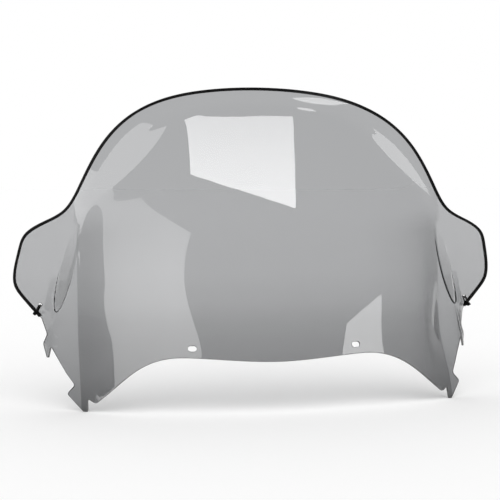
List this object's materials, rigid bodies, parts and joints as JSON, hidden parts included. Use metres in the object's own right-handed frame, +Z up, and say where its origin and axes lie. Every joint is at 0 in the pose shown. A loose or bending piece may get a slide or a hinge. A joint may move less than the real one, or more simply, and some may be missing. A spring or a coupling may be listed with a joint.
{
  "type": "windshield screen",
  "caption": "Smoke-tinted bubble windshield with forward ears, hooked lower tabs, slotted base holes and a rubber edge trim held by cable ties.",
  "frame": {"origin": "midway between the two base slots, on the outer (front) face of the sheet", "axes": "+X to the vehicle's side across the sheet, -Y to the front (the convex side), +Z up as fitted"},
  "size_m": [0.7586, 0.1573, 0.4799],
  "materials": {
    "smoke_sheet": "clear polycarbonate with a grey smoke tint, polished both sides",
    "trim_rubber": "black extruded rubber, slightly shiny",
    "tie_nylon": "black moulded nylon"
  },
  "bodies": {
    "root": {"screen": "smoke_sheet", "edge_trim": "trim_rubber", "trim_tie_left": "tie_nylon", "trim_tie_right": "tie_nylon"}
  },
  "joints": []
}
